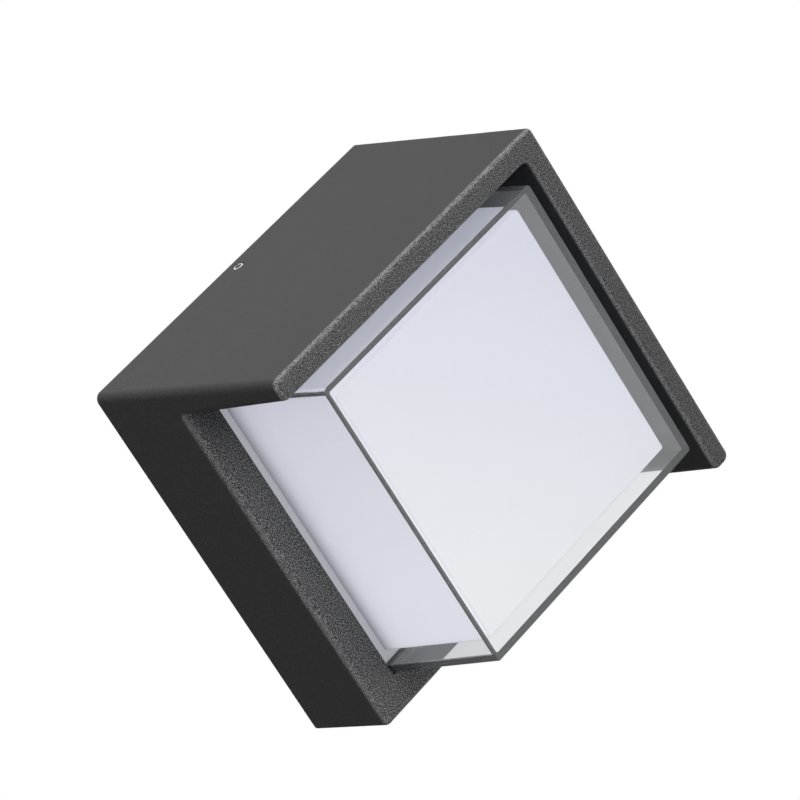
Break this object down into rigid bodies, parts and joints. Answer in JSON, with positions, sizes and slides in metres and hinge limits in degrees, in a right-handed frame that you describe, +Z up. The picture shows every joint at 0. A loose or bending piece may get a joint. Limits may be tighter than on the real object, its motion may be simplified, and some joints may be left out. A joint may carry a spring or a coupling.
{
  "type": "outdoor wall lantern",
  "caption": "Square outdoor wall lantern hung corner up: shallow base box, roof-shaped hood over the two upper sides, clear box cover around an opal diffuser.",
  "frame": {"origin": "middle of the wall bracket's back face, on the wall plane", "axes": "+Z up, -Y out of the wall towards the viewer, +X to the right seen from the front; the square housing stands on its corner"},
  "size_m": [0.2236, 0.104, 0.2244],
  "materials": {
    "housing_coat": "fine sandy anthracite powder coat on die-cast aluminium",
    "black_foam": "closed-cell foam",
    "clear_acrylic": "clear polished acrylic",
    "silicone": "matt silicone rubber",
    "opal_plastic": "opal white polycarbonate, satin",
    "plate_aluminium": "mill-finish sheet",
    "screw_steel": "zinc-plated steel",
    "thermal_silicone": "grey thermal pad",
    "board_white": "white solder mask on aluminium-core board",
    "led_phosphor": "yellow phosphor in white chip",
    "connector_plastic": "moulded nylon",
    "driver_case": "white polycarbonate case",
    "rear_cover_coat": "anthracite powder coat",
    "black_rubber": "moulded rubber",
    "black_nylon": "moulded nylon",
    "terminal_nylon": "natural nylon",
    "terminal_steel": "zinc-plated steel",
    "tinned_brass": "tinned brass",
    "lead_brown": "insulated lead",
    "lead_blue": "insulated lead",
    "lead_green": "insulated lead",
    "lead_red": "insulated lead",
    "lead_black": "insulated lead",
    "zinc_steel": "zinc-plated pressed steel",
    "stainless_steel": "stainless steel"
  },
  "bodies": {
    "bracket": {"wall_bracket": "zinc_steel"},
    "lantern": {"housing": "housing_coat", "wall_seal": "black_foam", "clear_cover": "clear_acrylic", "cover_gasket": "silicone", "diffuser": "opal_plastic", "led_mounting_plate": "plate_aluminium", "mounting_plate_screws": "screw_steel", "diffuser_screws": "screw_steel", "thermal_pad": "thermal_silicone", "led_board": "board_white", "led_chips": "led_phosphor", "led_connector": "connector_plastic", "led_board_screws": "screw_steel", "led_driver": "driver_case", "driver_screws": "screw_steel", "rear_cover": "rear_cover_coat", "rear_cover_gasket": "silicone", "rear_cover_screws": "screw_steel", "plate_grommet": "black_rubber", "rear_grommet": "black_rubber", "breather_vent": "black_nylon", "terminal_block": "terminal_nylon", "terminal_clamp_screws": "terminal_steel", "terminal_block_screw": "screw_steel", "earth_ring_terminal": "tinned_brass", "earth_washer": "screw_steel", "earth_screw": "screw_steel", "live_lead": "lead_brown", "neutral_lead": "lead_blue", "earth_lead": "lead_green", "led_lead_positive": "lead_red", "led_lead_negative": "lead_black"},
    "upper_screw": {"upper_side_screw": "stainless_steel"},
    "lower_screw": {"lower_side_screw": "stainless_steel"}
  },
  "joints": [
    {"name": "lantern_lift_off", "type": "slide", "parent": "bracket", "child": "lantern", "axis": [0, -1, 0], "range_m": [0, 0.03]},
    {"name": "upper_screw_travel", "type": "slide", "parent": "lantern", "child": "upper_screw", "axis": [-0.7071, 0, 0.7071], "range_m": [0, 0.003]},
    {"name": "lower_screw_travel", "type": "slide", "parent": "lantern", "child": "lower_screw", "axis": [0.7071, 0, -0.7071], "range_m": [0, 0.003]}
  ]
}
